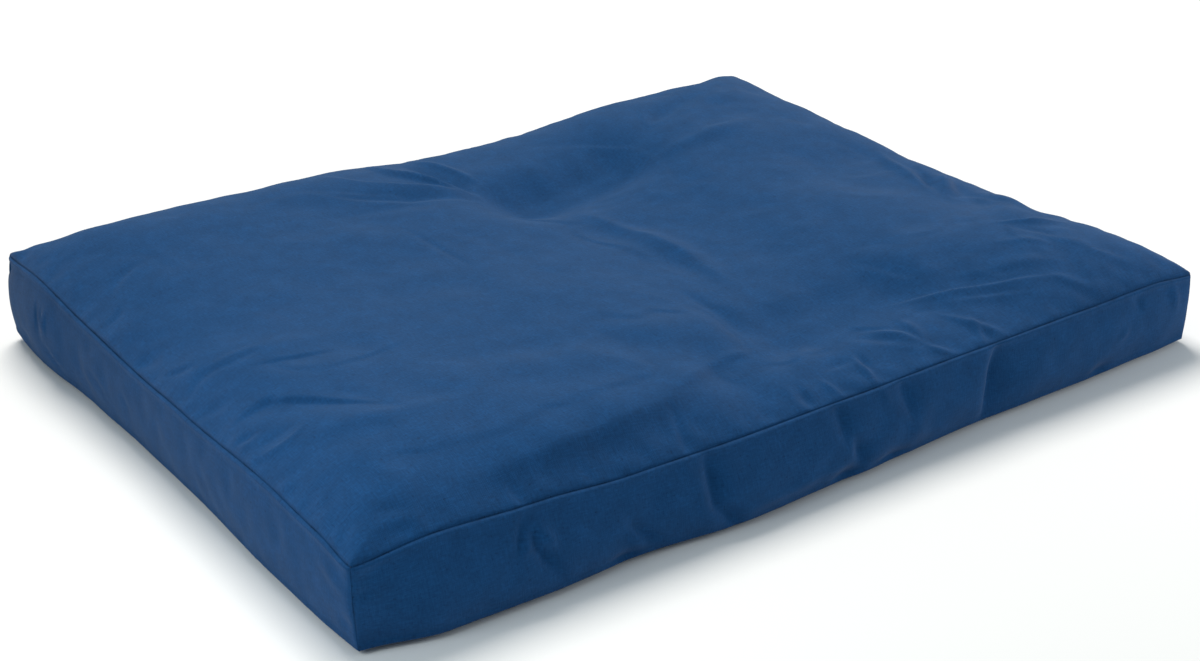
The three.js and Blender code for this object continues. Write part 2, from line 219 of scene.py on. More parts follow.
# Folds of the top panel along lines that bow to their left. half is the half width, wider on the left
# and narrower on the right by the share skew. A positive lift is a ridge, a negative one a trough.
# edge is the sharpness of the crease (2 is soft, 1 sharp), and peak how far along the line it is highest.
Fold = namedtuple("Fold", "x0 y0 x1 y1 half lift bow skew edge peak", defaults=(0, 0, 1.7, 0.5))
TOP_FOLDS = [
    # left edge
    Fold(-431, 133, -402, 140, 5, -1.5, bow=-10, skew=-0.4),
    Fold(-403, 158, -352, 188, 8, -1.8, bow=8, skew=0.4),
    Fold(-424, 8, -400, -16, 5, -2.6, skew=-0.3),
    Fold(-433, 62, -414, 28, 9, -2.5),
    Fold(-434, -68, -410, -92, 9, -2),
    Fold(-406, -30, -346, -33, 6, 1.4, skew=-0.4),
    Fold(-388, -43, -350, -41, 5, -1.7, skew=0.5),
    Fold(-425, -50, -378, -47, 6, -2, bow=14),
    Fold(-374, -60, -304, -85, 13, -1.9, bow=-2, skew=-0.8),
    Fold(-338, -114, -244, -101, 13, -1.2, bow=-4, skew=-0.8),
    Fold(-422, -122, -380, -121, 14, -3.6, skew=-0.6, peak=0.8),
    Fold(-386, -121, -322, -202, 17, -4.2, bow=-2, skew=-0.82, edge=1.5, peak=0.25),
    Fold(-398, -196, -250, -224, 14, 1.2, bow=-6, edge=2, peak=0.5),
    Fold(-429, -141, -410, -153, 5, -2.4),
    Fold(-432, -170, -382, -180, 5, 2, bow=-12, skew=-0.2),
    Fold(-424, -170, -386, -174, 9, -2),
    Fold(-431, -150, -418, -158, 4, 1),
    Fold(-431, -258, -414, -270, 5, -1.2, peak=0.3),
    # near left corner
    Fold(-434, -344, -396, -325, 6, 2.2, skew=-0.3, peak=0.5),
    Fold(-400, -326, -362, -331, 5, 1),
    Fold(-431, -318, -419, -303, 5, 1.2),
    Fold(-401, -333, -372, -336, 5, -2),
    Fold(-399, -315, -376, -321, 3.5, -0.8),
    # front edge, left of the pressed hollow
    Fold(-289, -320, -286, -348, 5, -3, peak=0.8),
    Fold(-229, -322, -222, -348, 5, -2.5, peak=0.8),
    Fold(-310, -320, -100, -297, 34, 10, bow=-3, skew=0.65, edge=1.6, peak=0.6),
    Fold(-345, -317, -180, -311, 26, 4.5, skew=0.45, edge=1.5),
    Fold(-125, -300, -40, -254, 20, 5, skew=0.6, edge=1.5),
    Fold(-62, -263, 0, -254, 8, 3, skew=0.3, edge=1.4),
    Fold(-190, -320, -80, -324, 14, -2),
    Fold(-258, -158, -28, -262, 28, -2.5, bow=30, edge=2),
    Fold(-126, -302, -138, -348, 6, -3, skew=0.3, peak=0.6),
    Fold(-114, -318, -66, -331, 12, 1),
    # front edge, below the pressed hollow
    Fold(44, -262, -2, -312, 14, 3, skew=0.3, peak=0.35),
    Fold(26, -309, 62, -307, 6, -2, skew=0.4),
    Fold(-6, -312, -14, -347, 5, -2.2, peak=0.6),
    Fold(-17, -310, -24, -343, 5, 1.5),
    Fold(14, -314, 22, -347, 4, 2.2, peak=0.6),
    Fold(63, -304, 55, -346, 4.5, 3.5),
    Fold(69, -300, 61, -330, 5, -2.5),
    Fold(103, -279, 131, -326, 8, 3.2, bow=2, skew=-0.3),
    Fold(129, -320, 150, -342, 5, 2.8, bow=-4),
    Fold(137, -276, 132, -322, 7, 2.5),
    Fold(82, -278, 118, -310, 9, -1.8),
    Fold(92, -302, 134, -334, 7, 1.2),
    Fold(170, -288, 206, -344, 6, 2.4, bow=-2, peak=0.6),
    Fold(192, -306, 177, -344, 4, 2.2),
    Fold(186, -322, 190, -344, 6, -1.2),
    # right front, fanning out from the pressed hollow
    Fold(156, -253, 300, -311, 8, 4.5, skew=-0.6, edge=1.4, peak=0.4),
    Fold(288, -304, 320, -338, 7, 2, peak=0.3),
    Fold(192, -283, 262, -312, 5, 1.8, skew=-0.4),
    Fold(212, -250, 320, -295, 12, 3, skew=0.25, peak=0.65),
    Fold(284, -238, 330, -276, 8, 1.8, bow=4),
    Fold(322, -246, 362, -316, 13, 2, bow=4),
    Fold(320, -218, 344, -266, 5, -1),
    Fold(320, -204, 382, -233, 6, 4, bow=-6, skew=-0.4),
    # right edge
    Fold(390, -72, 352, -156, 13, -4.2, peak=0.35),
    Fold(400, -46, 340, -124, 9, 5.5, peak=0.4),
    Fold(387, 36, 338, -104, 8, 5, peak=0.4),
    Fold(388, -18, 340, -108, 9, -4, peak=0.35),
    Fold(400, -112, 376, -204, 15, 6),
    # back left, gathered towards the far hollow
    Fold(-34, 300, -8, 186, 14, -7, bow=-6, peak=0.75),
    Fold(-66, 314, -16, 186, 14, 7, bow=-17, skew=0.6, edge=1.4, peak=0.7),
    Fold(-128, 294, -20, 188, 13, 5, bow=-25, skew=-0.6, edge=1.4, peak=0.75),
    Fold(-160, 248, -18, 170, 9, -3, bow=-21, skew=0.4, peak=0.7),
    Fold(-16, 312, 6, 206, 7, 4),
    Fold(-184, 186, -56, 165, 12, -1.2),
    Fold(-128, 128, -118, 6, 5, -1),
    # between and beside the hollows
    Fold(48, 78, 58, -150, 14, 6, bow=10),
    Fold(6, -130, 0, -246, 15, -6, bow=6),
    Fold(190, 190, 330, 262, 18, -6, bow=10),
    Fold(185, 150, 345, 170, 16, 5, bow=-8),
    Fold(400, 300, 300, 210, 18, 5, bow=6),
]

# Creases of the gusset, drawn on a side: place along the side and height at both ends.
GUSSET_FOLDS = {
    "front": [
        Fold(-433, 62, -402, 69, 4, -2.5),
        Fold(-433, 51, -412, 56, 4, -2.5),
        Fold(-285, 76, -300, 48, 4.5, -4.5),
        Fold(-281, 68, -286, 50, 4, -2.5),
        Fold(-281, 64, -266, 42, 5, 5.5),
        Fold(-283, 62, -298, 44, 4.5, 4),
        Fold(-283, 52, -276, 26, 7, -1.5),
        Fold(-290, 60, -255, 6, 5.5, -4.5, bow=-3, skew=0.3),
        Fold(-205, 50, -158, 12, 5, -5, bow=-9, skew=0.4),
        Fold(-204, 32, -184, 8, 5, 3),
        Fold(-143, 74, -136, 56, 6, 2.5),
        Fold(-140, 69, -131, 61, 3, -2),
        Fold(-121, 94, -122, 16, 11, -8, skew=0.15, edge=1.2),
        Fold(-126, 36, -96, -6, 10, -8.5, skew=0.25, edge=1.2),
        Fold(-131, 88, -133, 24, 7, 1.5),
        Fold(-137, 34, -104, -6, 6.5, 2),
        Fold(9, 94, 15, 30, 10, -7, skew=0.15, edge=1.2),
        Fold(22, 22, -98, 17, 5, 2.5),
        Fold(22, 44, 31, 10, 11, -6.5, skew=0.3, edge=1.2),
        Fold(14, 42, 21, 16, 7, 1.2),
        Fold(-222, 9, -188, 7, 6, -9),
        Fold(-6, 9, 34, 9, 7, -10),
        Fold(42, 8, 92, 6, 7, -11),
        Fold(57, 72, 67, 56, 4, 3.5),
        Fold(77, 94, 87, 32, 12, -8.5, skew=0.15, edge=1.2),
        Fold(76, 44, 114, 14, 7, 3, bow=-4),
        Fold(201, 98, 170, -12, 20, -13, bow=-3, skew=0.6, edge=1.25),
        Fold(298, 8, 330, 10, 7, -8),
        Fold(333, 34, 350, 42, 4, 2),
        Fold(354, 70, 366, 52, 5, -3.5),
        Fold(383, 88, 400, 66, 4.5, 3),
        Fold(392, 88, 404, 72, 5, -2.5),
        Fold(401, 78, 412, 38, 5, 3.5),
    ],
    "left": [
        Fold(234, 74, 240, 38, 3.5, 3),
        Fold(250, 70, 246, 38, 3, 3),
        Fold(244, 66, 243, 42, 3, -4),
        Fold(254, 72, 250, 36, 4, -3.5),
        Fold(246, 30, 204, 14, 4, -4),
        Fold(238, 32, 206, 22, 5, 2),
        Fold(325, 16, 275, 22, 8, -3),
        Fold(154, 46, 104, 20, 4, -1.5, bow=-4),
        Fold(160, 42, 133, 22, 4, 1),
        Fold(78, 51, 59, 35, 5, -1),
        Fold(156, 66, 129, 69, 6, -1.5),
        Fold(-290, 63, -340, 52, 6, 2),
        Fold(-294, 71, -338, 62, 6, -1.2),
        Fold(-318, 20, -340, 28, 8, -2),
    ],
    "right": [
        Fold(-148, 88, -170, -6, 12, -6, skew=0.5),
        Fold(-139, 86, -160, -6, 6, 2.5),
        Fold(68, 90, 94, 10, 12, -6, skew=-0.5),
        Fold(78, 88, 104, 16, 6, 2.5),
        Fold(252, 84, 236, 10, 10, 4),
    ],
    "back": [
        Fold(-213, 92, -188, -6, 12, -6, skew=-0.5),
        Fold(-203, 90, -178, -4, 6, 2.5),
        Fold(18, 90, 46, -4, 12, -7, skew=-0.5),
        Fold(28, 88, 56, 0, 6, 3),
        Fold(243, 90, 214, 4, 11, -5.5, skew=0.5),
    ],
}

# Canvas: colour of the yarn, distance between threads in metres, and how rare its specks are
NAVY = (0.0065, 0.052, 0.154)
THREAD_PITCH = 0.0008
SPECK_LEVEL = 0.8
CANVAS_SURFACE = {
    "Roughness": 0.92,
    "Specular IOR Level": 0.05,
    "Sheen Weight": 0.085,
    "Sheen Roughness": 0.5,
}

# Noise over the cloth, in cells to a metre each way: slubs are long along their thread
Noise = namedtuple("Noise", "across along detail")
WARP_SLUBS = Noise(1300, 90, 1)
WEFT_SLUBS = Noise(90, 1300, 1)
DYE = Noise(55, 55, 4)
GRAIN = Noise(420, 420, 2)
SPECKS = Noise(330, 330, 0)

# How much each of them lightens the cloth, and the share of the yarn's colour at each tone
SLUB_TONE = 0.3
DYE_TONE = 0.3
GRAIN_TONE = 0.35
CROSSING_TONE = 0.02
SPECK_TONE = -0.16
# painted shade along the seams, darkest on the stitching line
SEAM_PAINTED_SHADE = -0.4
TONE_SHARES = ((0.1, 0.25), (0.36, 0.75), (0.63, 1), (0.84, 1.3))
BUMP_STRENGTH = 0.35
BUMP_HEIGHT = 0.0003
CROSSING_BUMP = 0.2  # height of the crossings to that of the slubs

# Floor and light, in metres and watts
FLOOR_SIZE = 40
FLOOR_COLOUR = (0.86, 0.86, 0.86, 1)
FLOOR_ROUGHNESS = 0.9
SKY_COLOUR = (0.8, 0.94, 1, 1)
SKY_STRENGTH = 0.32
SoftBox = namedtuple("SoftBox", "name place aim size power colour")
SOFT_BOXES = [
    SoftBox("key", (0.8, 2.9, 4.95), (0, 0, 0.05), 2.9, 352, (1, 0.96, 0.905)),
    SoftBox("left_fill", (-0.95, -0.33, 0.5), (-0.42, -0.28, 0.06), 0.4, 2.2, (0.88, 0.97, 1)),
    SoftBox("front_fill", (1.8, -1.1, 0.5), (0.1, -0.36, 0.05), 0.5, 14, (0.95, 0.98, 1)),
]

# Camera at the photograph's place, seen from the footprint's middle: focal length in pixels of a
# 1200 by 661 image, heading from +Y towards +X, downward pitch and roll in degrees, place in metres.
IMAGE_WIDTH = 1200
SENSOR_WIDTH = 36  # in millimetres, as usual: the picture is the same with any other
FOCAL_PIXELS = 2171
HEADING, PITCH, ROLL = 33.12, 25.18, 2.06
CAMERA_PLACE = Vector((-1.002, -1.553, 0.879))


def smooth(share):
    """A share eased at both ends."""
    share = np.clip(share, 0, 1)
    return share * share * (3 - 2 * share)


def arch(share):
    """A parabola that is 0 at both ends and 1 in the middle."""
    return 4 * share * (1 - share)


def section_value(side, column, share):
    """A column of a side's sections at shares of the way along it, eased from section to section."""
    rows = SIDES[side].sections
    at = np.array([row.at for row in rows])
    values = np.array([getattr(row, column) for row in rows], float)
    last = np.clip(np.searchsorted(at, share), 1, len(rows) - 1)
    step = smooth((share - at[last - 1]) / (at[last] - at[last - 1]))
    return values[last - 1] + (values[last] - values[last - 1]) * step


def seam_points(side, share):
    """The upper seam of a side at shares of the way along it."""
    share = np.asarray(share, float)
    start, end = CORNERS[SIDES[side].start], CORNERS[SIDES[side].end]
    outward = SIDES[side].outward
    out = section_value(side, "out", share)
    x = (start.x + (end.x - start.x) * share) * LENGTH / 2 + outward[0] * out
    y = (start.y + (end.y - start.y) * share) * WIDTH / 2 + outward[1] * out
    z = start.seam + (end.seam - start.seam) * share + section_value(side, "rise", share)
    return np.stack([x, y, z], -1)


def fold_height(fold, first, second):
    """A fold's height at points of the plane that its line is drawn in."""
    line = np.array([fold.x1 - fold.x0, fold.y1 - fold.y0], float)
    size = np.hypot(*line)
    first, second = first - fold.x0, second - fold.y0
    along = (first * line[0] + second * line[1]) / size**2
    on_line = np.clip(along, 0, 1)
    across = (line[0] * second - line[1] * first) / size - fold.bow * arch(on_line)
    rising = smooth((along + FOLD_OVERRUN) / (fold.peak + FOLD_OVERRUN))
    falling = smooth((1 - along + FOLD_OVERRUN) / (1 - fold.peak + FOLD_OVERRUN))
    swell = rising * falling
    narrowing = FOLD_END_WIDTH + (1 - FOLD_END_WIDTH) * swell
    half = fold.half * (1 + fold.skew * np.sign(across)) * narrowing
    offset = np.abs(across / half)
    return fold.lift * swell * (1 - FOLD_LIP * offset**2) * np.exp(-(offset**fold.edge))


def hollow_depth(hollow, x, y):
    """How far a pressed hollow lowers the top panel."""
    turn = math.radians(hollow.turn)
    first = (x - hollow.x) * math.cos(turn) + (y - hollow.y) * math.sin(turn)
    second = (y - hollow.y) * math.cos(turn) - (x - hollow.x) * math.sin(turn)
    past_length = np.maximum(0, np.abs(first) - hollow.length)
    past_width = np.maximum(0, np.abs(second) - hollow.width)
    return hollow.depth * np.exp(-(past_length**2 + past_width**2) / hollow.shoulder**2)


def flat_panel(lines_x, lines_y):
    """Places on the flat panel, from its middle, of a grid of lines at shares of its length and width."""
    return np.meshgrid((lines_x - 0.5) * LENGTH, (lines_y - 0.5) * WIDTH)


def edge_distances(x, y):
    """Distances from points of the flat panel to its nearer short side and its nearer long side."""
    return LENGTH / 2 - np.abs(x), WIDTH / 2 - np.abs(y)


def seam_distance(x, y):
    """Distance from points of the top panel to its seam, rounded off where two sides are equally near."""
    tiny = 1e-6
    edge_x, edge_y = (np.maximum(tiny, edge) for edge in edge_distances(x, y))
    return (edge_x**-CORNER_ROUNDING + edge_y**-CORNER_ROUNDING) ** (-1 / CORNER_ROUNDING)


def wave_field(waves):
    """A smooth random field of unit size over two coordinates: plane waves of many directions."""
    random = np.random.default_rng(waves.seed)
    pace = 2 * np.pi / random.uniform(waves.shortest, waves.longest, WAVE_COUNT)
    turn = random.uniform(0, 2 * np.pi, WAVE_COUNT)
    phase = random.uniform(0, 2 * np.pi, WAVE_COUNT)

    def field(first, second):
        total = 0
        for step, angle, start in zip(pace, turn, phase):
            total = total + np.sin(step * (first * math.cos(angle) + second * math.sin(angle)) + start)
        return total * math.sqrt(2 / WAVE_COUNT)

    return field


LUMPS = wave_field(LUMP_WAVES)
GUSSET_LUMPS = wave_field(GUSSET_LUMP_WAVES)
PUCKERS = wave_field(PUCKER_WAVES)


def top_relief(x, y):
    """Height of the top panel above the surface that its seams span."""
    distance = seam_distance(x, y)
    filled = 1 - np.exp(-distance / CROWN_REACH)
    held = 1 - np.exp(-distance / SEAM_HOLD)
    relief = (CROWN - EDGE_ROLL) * filled + EDGE_ROLL * (1 - np.exp(-distance / EDGE_ROLL_REACH))
    for hollow in HOLLOWS:
        relief = relief - filled * hollow_depth(hollow, x, y)
    for fold in TOP_FOLDS:
        relief = relief + held * fold_height(fold, x, y)
    relief = relief + held * LUMP_SIZE * LUMPS(x, y)
    relief = relief + held * PUCKER_SIZE * np.exp(-distance / PUCKER_REACH) * PUCKERS(x, y)
    return relief


def top_panel(lines_x, lines_y):
    """Points of the top panel on a grid of lines: the surface that the four seams span, and its relief."""
    u, v = lines_x[None, :, None], lines_y[:, None, None]
    across = (1 - v) * seam_points("front", lines_x) + v * seam_points("back", lines_x)
    along = (1 - u) * seam_points("left", lines_y)[:, None] + u * seam_points("right", lines_y)[:, None]
    near = (1 - u) * seam_points("front", 0) + u * seam_points("front", 1)
    far = (1 - u) * seam_points("back", 0) + u * seam_points("back", 1)
    points = across + along - ((1 - v) * near + v * far)
    points[..., 2] += top_relief(*flat_panel(lines_x, lines_y))
    return points


def side_length(side):
    """Length of a side's seam from corner to corner."""
    return LENGTH if SIDES[side].outward[0] == 0 else WIDTH


def seam_loop(lines):
    """Places round the seam, counter-clockwise from above: (side, shares) without each side's last line."""
    return [
        ("front", lines.x[:-1]),
        ("right", lines.y[:-1]),
        ("back", lines.x[:0:-1]),
        ("left", lines.y[:0:-1]),
    ]


def loop_outward(loop):
    """The direction that faces out at each place of the loop, both sides' at a corner."""
    directions = []
    for index, (side, shares) in enumerate(loop):
        outward = np.tile(np.array(SIDES[side].outward, float), (len(shares), 1))
        outward[0] += SIDES[loop[index - 1][0]].outward
        directions.append(outward)
    return np.concatenate(directions)


def loop_way(loop):
    """How far round the seam each place of the loop lies."""
    way = [0]
    for side, shares in loop:
        steps = np.abs(np.diff(np.append(shares, round(1 - shares[0])))) * side_length(side)
        way.extend(way[-1] + np.cumsum(steps))
    return np.array(way)


def corner_distance(loop):
    """Distance of each place of the loop from the nearer corner of its side."""
    return np.concatenate([np.minimum(share, 1 - share) * side_length(side) for side, share in loop])


def corner_lift(side, share):
    """How much higher the lower seam runs near the corners of a side."""
    start, end = CORNERS[SIDES[side].start], CORNERS[SIDES[side].end]
    reach = CORNER_LIFT_REACH / side_length(side)
    return start.lift * np.exp(-((share / reach) ** 2)) + end.lift * np.exp(-(((1 - share) / reach) ** 2))


def corner_pinch(side, share):
    """How far a side's gusset is pinched in below the tips of its corners."""
    start, end = CORNERS[SIDES[side].start], CORNERS[SIDES[side].end]
    reach = PINCH_REACH / side_length(side)
    return start.pinch * np.exp(-share / reach) + end.pinch * np.exp(-(1 - share) / reach)


def gusset_out(side, share, level):
    """How far a side's gusset lies out from its upper seam, without its creases."""
    seam_out = section_value(side, "out", share)
    belly = section_value(side, "belly", share) - seam_out
    foot = section_value(side, "foot", share) - seam_out
    return foot * smooth(level) + (belly - foot / 2) * arch(level)


def between_seams(level, power):
    """A share that is 0 at the gusset's two seams and 1 half way between them."""
    return np.sin(np.pi * level) ** power


def gusset_strip(side, share, levels):
    """Points of a side's gusset, at levels from 0, the upper seam, to 1, the lower one."""
    outward = np.array(SIDES[side].outward)
    onward = np.abs(outward[::-1])
    level = np.asarray(levels)[:, None]
    seam = seam_points(side, share)
    height = seam[:, 2] * (1 - level) + (FOOT_HEIGHT + corner_lift(side, share)) * level
    beside = seam[:, :2] @ onward
    shift = GUSSET_LUMP_SHIFT * list(SIDES).index(side)
    slack = GUSSET_LUMP_SIZE * GUSSET_LUMPS(beside + shift, height)
    for fold in GUSSET_FOLDS[side]:
        slack = slack + fold_height(fold, beside, height)
    out = gusset_out(side, share, level) + between_seams(level, CREASE_HOLD) * slack
    ends = gusset_out(side, np.array([0, 1]), level)
    stretch = ends[:, 1:] * share - ends[:, :1] * (1 - share)
    flat = seam[:, :2] + out[..., None] * outward + stretch[..., None] * onward
    return np.concatenate([flat, height[..., None]], -1)


def cover_form(lines):
    """The filled cover before it is sewn: the top panel's grid of points, and the gusset's by level."""
    strips = [gusset_strip(side, share, lines.gusset) for side, share in seam_loop(lines)]
    return top_panel(lines.x, lines.y), np.concatenate(strips, 1)


def spaced_lines(size, stretches):
    """Shares of a size for mesh lines: closest at both ends, with the stretches' steps between them."""
    lines = list(SEAM_LINES)
    for stretch in stretches:
        count = max(1, round((stretch.end - lines[-1]) / stretch.step))
        lines.extend(np.linspace(lines[-1], stretch.end, count + 1)[1:])
    return np.concatenate([lines, size - np.array(SEAM_LINES[-2::-1])]) / size


def seam_groove(distance):
    """How far the cloth is drawn in at a distance from the stitching line."""
    return -SEAM_DEPTH * np.exp(-distance / SEAM_HALF)


def seam_bead(distance):
    """How far the gusset stands out at a distance from the stitching line."""
    return BEAD * np.exp(-(((distance - BEAD_AT) / BEAD_HALF) ** 2))


def sew_top(lines, top):
    """The top panel, turned in along its seam."""
    x, y = flat_panel(lines.x, lines.y)
    edge_x, edge_y = edge_distances(x, y)
    groove = TURN_IN * seam_groove(np.minimum(edge_x, edge_y))
    direction = [np.sign(x) * (edge_x <= edge_y), np.sign(y) * (edge_y <= edge_x), np.ones_like(x)]
    return top + groove[..., None] * np.stack(direction, -1)


def sew_gusset(lines, strip):
    """The gusset, turned in along its two seams and its corners, with a bead beside each seam."""
    loop = seam_loop(lines)
    upper = lines.gusset * GUSSET_HEIGHT
    lower = GUSSET_HEIGHT - upper
    groove, lower_groove = TURN_IN * seam_groove(upper), LOWER_TURN_IN * seam_groove(lower)
    beads = seam_bead(upper) + LOWER_BEAD * seam_bead(lower)
    from_corner = corner_distance(loop)
    corner_groove = -CORNER_SEAM_DEPTH * np.exp(-from_corner / SEAM_HALF)
    fades_in = between_seams(lines.gusset, CORNER_SEAM_HOLD)
    beads = beads[:, None] * (1 - np.exp(-from_corner / BEAD_CORNER_REACH))
    moves = (groove + lower_groove)[:, None] + beads + fades_in[:, None] * corner_groove
    pinch = np.concatenate([corner_pinch(side, share) for side, share in loop])
    moves -= np.exp(-(((upper - PINCH_AT) / PINCH_HALF) ** 2))[:, None] * pinch
    sewn = strip.copy()
    sewn[..., :2] += moves[..., None] * loop_outward(loop)
    sewn[..., 2] += (groove - lower_groove)[:, None]
    return sewn


def base_rings(lower):
    """Rings from the lower seam round the rim and in over the flat base."""
    size = np.array([LENGTH, WIDTH])
    rim = [
        np.concatenate([lower[:, :2] * (1 - 2 * RIM * share / size), lower[:, 2:] * (1 - smooth(share))], 1)
        for share in RIM_SHARES
    ]
    return np.array(rim + [rim[-1] * (share, share, 1) for share in BASE_SHARES])


def closed_cover(top, strip):
    """The closed cover of the top panel, the gusset, the rim and the base."""
    rings = np.concatenate([strip[1:], base_rings(strip[-1])])
    panel = np.arange(top[..., 0].size).reshape(top.shape[:2])
    seam = np.concatenate([panel[0, :-1], panel[:-1, -1], panel[-1, :0:-1], panel[:0:-1, 0]])
    below = panel.size + np.arange(rings[..., 0].size).reshape(rings.shape[:2])
    points = np.concatenate([top.reshape(-1, 3), rings.reshape(-1, 3), np.zeros((1, 3))])
    return Cover(points, panel, np.concatenate([seam[None], below]), len(points) - 1)


def rounded(cover):
    """The cover with its four upright edges rounded in."""
    flat = cover.points[:, :2]
    apart = np.maximum(0, np.array([LENGTH, WIDTH]) / 2 - np.abs(flat)).sum(1)
    inward = CORNER_ROUND * np.exp(-apart / CORNER_ROUND_REACH)
    points = np.column_stack([flat - np.sign(flat) * inward[:, None], cover.points[:, 2]])
    return cover._replace(points=points)


def panel_quads(panel):
    """The cells of the top panel, as quads that face up."""
    return np.stack([panel[:-1, :-1], panel[:-1, 1:], panel[1:, 1:], panel[1:, :-1]], -1)


def panel_triangles(panel, lines):
    """Two triangles for each cell of the top panel, split along the diagonal that follows its folds."""
    middle = top_relief(*flat_panel((lines.x[1:] + lines.x[:-1]) / 2, (lines.y[1:] + lines.y[:-1]) / 2))
    corner = top_relief(*flat_panel(lines.x, lines.y))
    rising = np.abs((corner[:-1, :-1] + corner[1:, 1:]) / 2 - middle)
    falling = np.abs((corner[:-1, 1:] + corner[1:, :-1]) / 2 - middle)
    quads = panel_quads(panel)
    split_rising, split_falling = quads[..., [0, 1, 2, 0, 2, 3]], quads[..., [0, 1, 3, 1, 2, 3]]
    return np.where((rising <= falling)[..., None], split_rising, split_falling).reshape(-1, 3)


def ring_quads(rings):
    """The cells between each ring and the next, as quads that face out."""
    following = np.roll(rings, -1, 1)
    return np.stack([rings[1:], following[1:], following[:-1], rings[:-1]], -1).reshape(-1, 4)


def base_fan(cover):
    """Triangles from the last ring of the base to its middle."""
    last = cover.rings[-1]
    return np.stack([np.full(len(last), cover.middle), np.roll(last, -1), last], -1)


def evened(moves, places, wanted, reach, round_trip=None):
    """Moves at wanted places of the first axis, evened out over a reach from those at given places."""
    apart = wanted[:, None] - places
    if round_trip:
        apart = (apart + round_trip / 2) % round_trip - round_trip / 2
    weights = np.exp(-((apart / reach) ** 2))
    return np.tensordot(weights / weights.sum(1, keepdims=True), moves, 1)


def evened_cover(moves, lines, wanted, reach):
    """A pair of moves, the top panel's and the gusset's, evened out and put on the wanted lines."""
    top, strip = moves
    top = evened(top, lines.y * WIDTH, wanted.y * WIDTH, reach)
    top = evened(top.swapaxes(0, 1), lines.x * LENGTH, wanted.x * LENGTH, reach).swapaxes(0, 1)
    way, wanted_way = loop_way(seam_loop(lines)), loop_way(seam_loop(wanted))
    strip = evened(strip, lines.gusset * GUSSET_HEIGHT, wanted.gusset * GUSSET_HEIGHT, reach)
    strip = evened(strip.swapaxes(0, 1), way[:-1], wanted_way[:-1], reach, way[-1]).swapaxes(0, 1)
    return top, strip


def simulated(lines):
    """Moves of the top panel and the gusset in cloth simulation: cut large, held at the seams, blown up."""
    cover = closed_cover(*cover_form(lines))
    faces = panel_quads(cover.panel).reshape(-1, 4).tolist() + ring_quads(cover.rings).tolist()
    piece = make_piece("slack_copy", cover.points, faces + base_fan(cover).tolist())
    free = np.append(cover.panel[1:-1, 1:-1], cover.rings[1:len(lines.gusset) - 1])
    held = np.setdiff1d(np.arange(len(cover.points)), free)
    piece.vertex_groups.new(name="held").add(held.tolist(), 1, "REPLACE")
    settings = piece.modifiers.new("slack", "CLOTH").settings
    settings.vertex_group_mass = "held"
    settings.shrink_min = -SLACK_GROWTH
    settings.use_pressure = True
    settings.uniform_pressure_force = SLACK_PRESSURE
    settings.effector_weights.gravity = 0
    scene = bpy.context.scene
    for step in range(SLACK_FRAMES):
        scene.frame_set(scene.frame_start + step)
    still = piece.evaluated_get(bpy.context.evaluated_depsgraph_get()).data
    places = np.empty(cover.points.size, np.float32)
    still.vertices.foreach_get("co", places)
    moves = places.reshape(-1, 3) / MM - cover.points
    scene.frame_set(scene.frame_start)
    bpy.data.meshes.remove(piece.data)
    return moves[cover.panel], moves[cover.rings[:len(lines.gusset)]]


def slack(wanted):
    """The slack cloth's small wrinkles on the wanted lines: simulated moves without their broad swell."""
    sizes = (LENGTH, WIDTH, GUSSET_HEIGHT)
    lines = Lines(*(np.linspace(0, 1, round(size / SLACK_STEP) + 1) for size in sizes))
    moves = simulated(lines)
    swell = evened_cover(moves, lines, lines, SWELL_REACH)
    wrinkles = [part - broad for part, broad in zip(moves, swell)]
    top, strip = evened_cover(wrinkles, lines, wanted, SLACK_BLUR * SLACK_STEP)
    top *= 1 - np.exp(-seam_distance(*flat_panel(wanted.x, wanted.y)) / SEAM_HOLD)[..., None]
    strip *= GUSSET_SLACK * between_seams(wanted.gusset, CREASE_HOLD)[:, None, None]
    return [
        part * SLACK_LIMIT / np.maximum(SLACK_LIMIT, np.linalg.norm(part, axis=-1, keepdims=True))
        for part in (top, strip)
    ]


def cloth_coordinates(lines, cover, top_faces, fan):
    """Where the faces' corners lie on the flat cloth, in metres: on a panel, or round and down the gusset."""
    panel = np.stack(flat_panel(lines.x, lines.y), -1).reshape(-1, 2)
    way = loop_way(seam_loop(lines))
    below = [*lines.gusset * GUSSET_HEIGHT, *(GUSSET_HEIGHT + RIM * np.array(RIM_SHARES))]
    below.extend(below[-1] + BASE_RING * (1 + np.arange(len(BASE_SHARES))))
    first, upper = np.meshgrid(way[:-1], -np.array(below[:-1]))
    second, lower = np.meshgrid(way[1:], -np.array(below[1:]))
    gusset = np.stack([first, lower, second, lower, second, upper, first, upper], -1)
    base = cover.points[fan][..., :2]
    return MM * np.concatenate([part.reshape(-1, 2) for part in (panel[top_faces], gusset, base)])


def painted_seam_shade(lines, cover):
    """How much painted shade each point gets in the fold of a seam, from 0 to 1 on the stitching line."""
    from_edge = np.minimum(*edge_distances(*flat_panel(lines.x, lines.y)))
    upper = lines.gusset * GUSSET_HEIGHT
    from_corner = corner_distance(seam_loop(lines))
    from_seam = np.minimum(upper, GUSSET_HEIGHT - upper)
    painted_shade = np.zeros(len(cover.points))
    painted_shade[cover.panel] = np.exp(-from_edge / PAINTED_SHADE_HALF)
    painted_shade[cover.rings[:len(lines.gusset)]] = np.maximum(
        np.exp(-from_seam / PAINTED_SHADE_HALF)[:, None], np.exp(-from_corner / CORNER_PAINTED_SHADE_HALF)
    )
    x, y, z = cover.points.T
    uneven = np.tanh(PUCKERS(x + z, y + z))
    return painted_shade * (1 - PAINTED_SHADE_VARIES * (1 + uneven) / 2)


